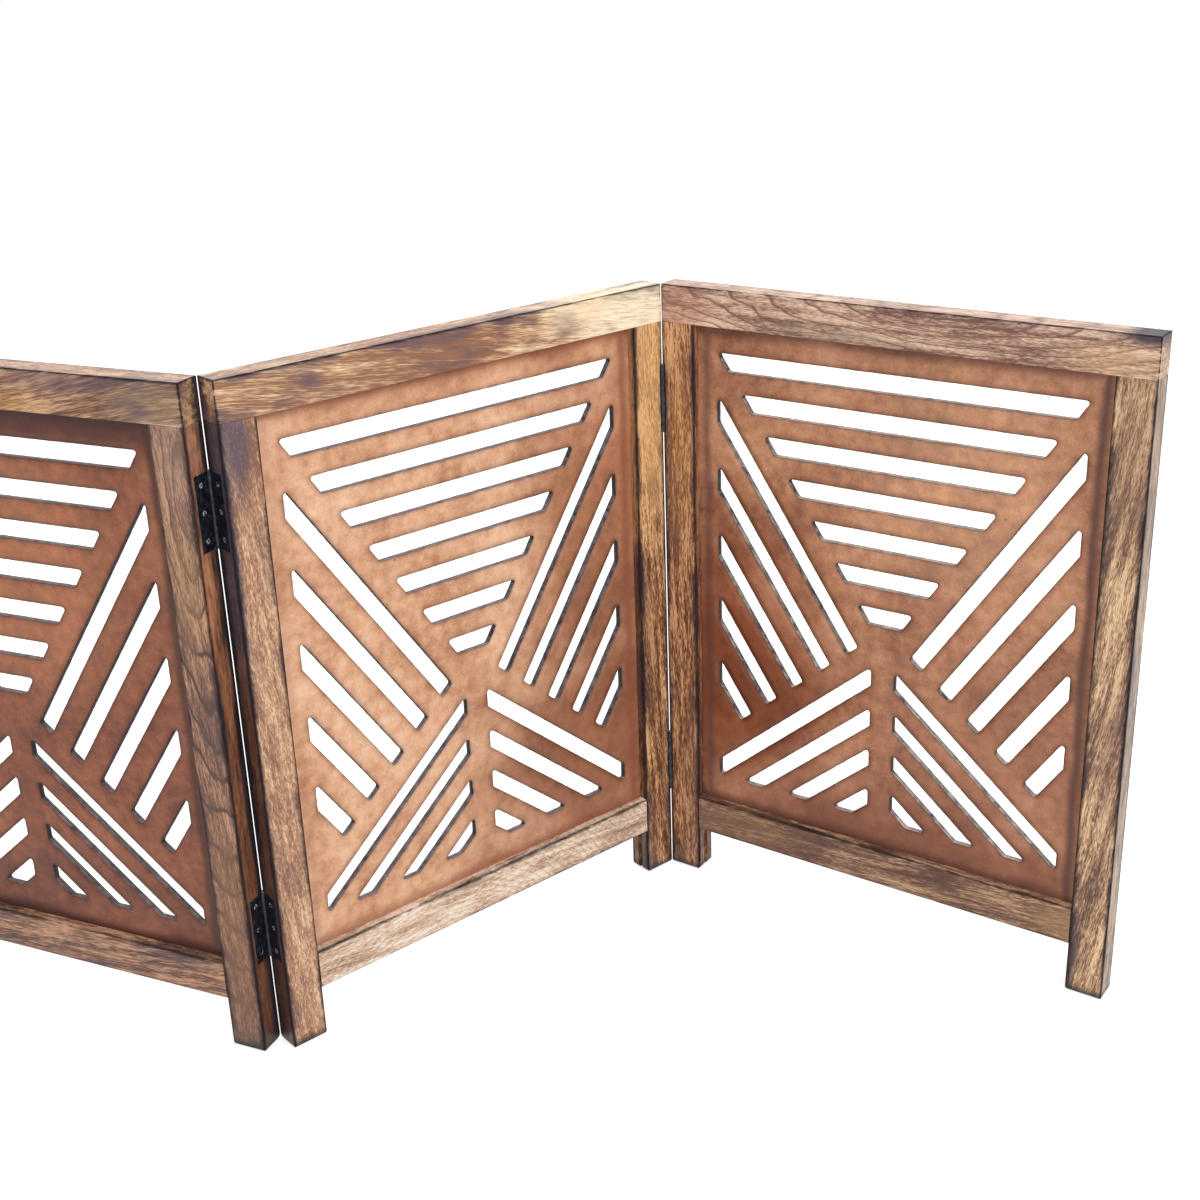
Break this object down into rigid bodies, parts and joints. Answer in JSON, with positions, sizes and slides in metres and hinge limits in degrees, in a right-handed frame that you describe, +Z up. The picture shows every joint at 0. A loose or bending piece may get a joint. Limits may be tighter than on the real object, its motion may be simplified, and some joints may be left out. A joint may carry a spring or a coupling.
{
  "type": "folding jali screen",
  "caption": "Low folding screen of framed panels with boards pierced by level, raking and falling slots, hinged in a zigzag with butt hinges between the stiles.",
  "frame": {"origin": "on the floor, at the middle of the plan of the screen as it stands in its zigzag", "axes": "+X along the row of panels from the left panel to the right one, +Y away from the viewer to the back, +Z up"},
  "size_m": [1.184, 0.3216, 0.61],
  "materials": {
    "frame_wood": "stained and waxed solid hardwood with burnt edges",
    "pierced_board": "stained fibreboard with shaded edges",
    "dowel_wood": "plain turned dowel",
    "hinge_metal": "black lacquered pressed steel",
    "screw_metal": "black lacquered steel, worn bright on the heads",
    "pin_metal": "black lacquered steel"
  },
  "bodies": {
    "middle_panel": {"middle_panel_top_rail": "frame_wood", "middle_panel_bottom_rail": "frame_wood", "middle_panel_left_stile": "frame_wood", "middle_panel_right_stile": "frame_wood", "middle_panel_jali_board": "pierced_board", "middle_panel_dowels": "dowel_wood", "left_upper_hinge_fixed_leaf": "hinge_metal", "left_upper_hinge_fixed_screws": "screw_metal", "left_upper_hinge_pin": "pin_metal", "left_lower_hinge_fixed_leaf": "hinge_metal", "left_lower_hinge_fixed_screws": "screw_metal", "left_lower_hinge_pin": "pin_metal", "right_upper_hinge_fixed_leaf": "hinge_metal", "right_upper_hinge_fixed_screws": "screw_metal", "right_upper_hinge_pin": "pin_metal", "right_lower_hinge_fixed_leaf": "hinge_metal", "right_lower_hinge_fixed_screws": "screw_metal", "right_lower_hinge_pin": "pin_metal"},
    "left_panel": {"left_panel_top_rail": "frame_wood", "left_panel_bottom_rail": "frame_wood", "left_panel_left_stile": "frame_wood", "left_panel_right_stile": "frame_wood", "left_panel_jali_board": "pierced_board", "left_panel_dowels": "dowel_wood", "left_upper_hinge_swing_leaf": "hinge_metal", "left_upper_hinge_swing_screws": "screw_metal", "left_lower_hinge_swing_leaf": "hinge_metal", "left_lower_hinge_swing_screws": "screw_metal"},
    "right_panel": {"right_panel_top_rail": "frame_wood", "right_panel_bottom_rail": "frame_wood", "right_panel_left_stile": "frame_wood", "right_panel_right_stile": "frame_wood", "right_panel_jali_board": "pierced_board", "right_panel_dowels": "dowel_wood", "right_upper_hinge_swing_leaf": "hinge_metal", "right_upper_hinge_swing_screws": "screw_metal", "right_lower_hinge_swing_leaf": "hinge_metal", "right_lower_hinge_swing_screws": "screw_metal"}
  },
  "joints": [
    {"name": "left_fold", "type": "hinge", "parent": "middle_panel", "child": "left_panel", "pos_m": [-0.16203, -0.13901, 0.305], "axis": [0, 0, 1], "range_deg": [-115.5, 64.5]},
    {"name": "right_fold", "type": "hinge", "parent": "middle_panel", "child": "right_panel", "pos_m": [0.20363, 0.14147, 0.305], "axis": [0, 0, 1], "range_deg": [-104, 76]}
  ]
}
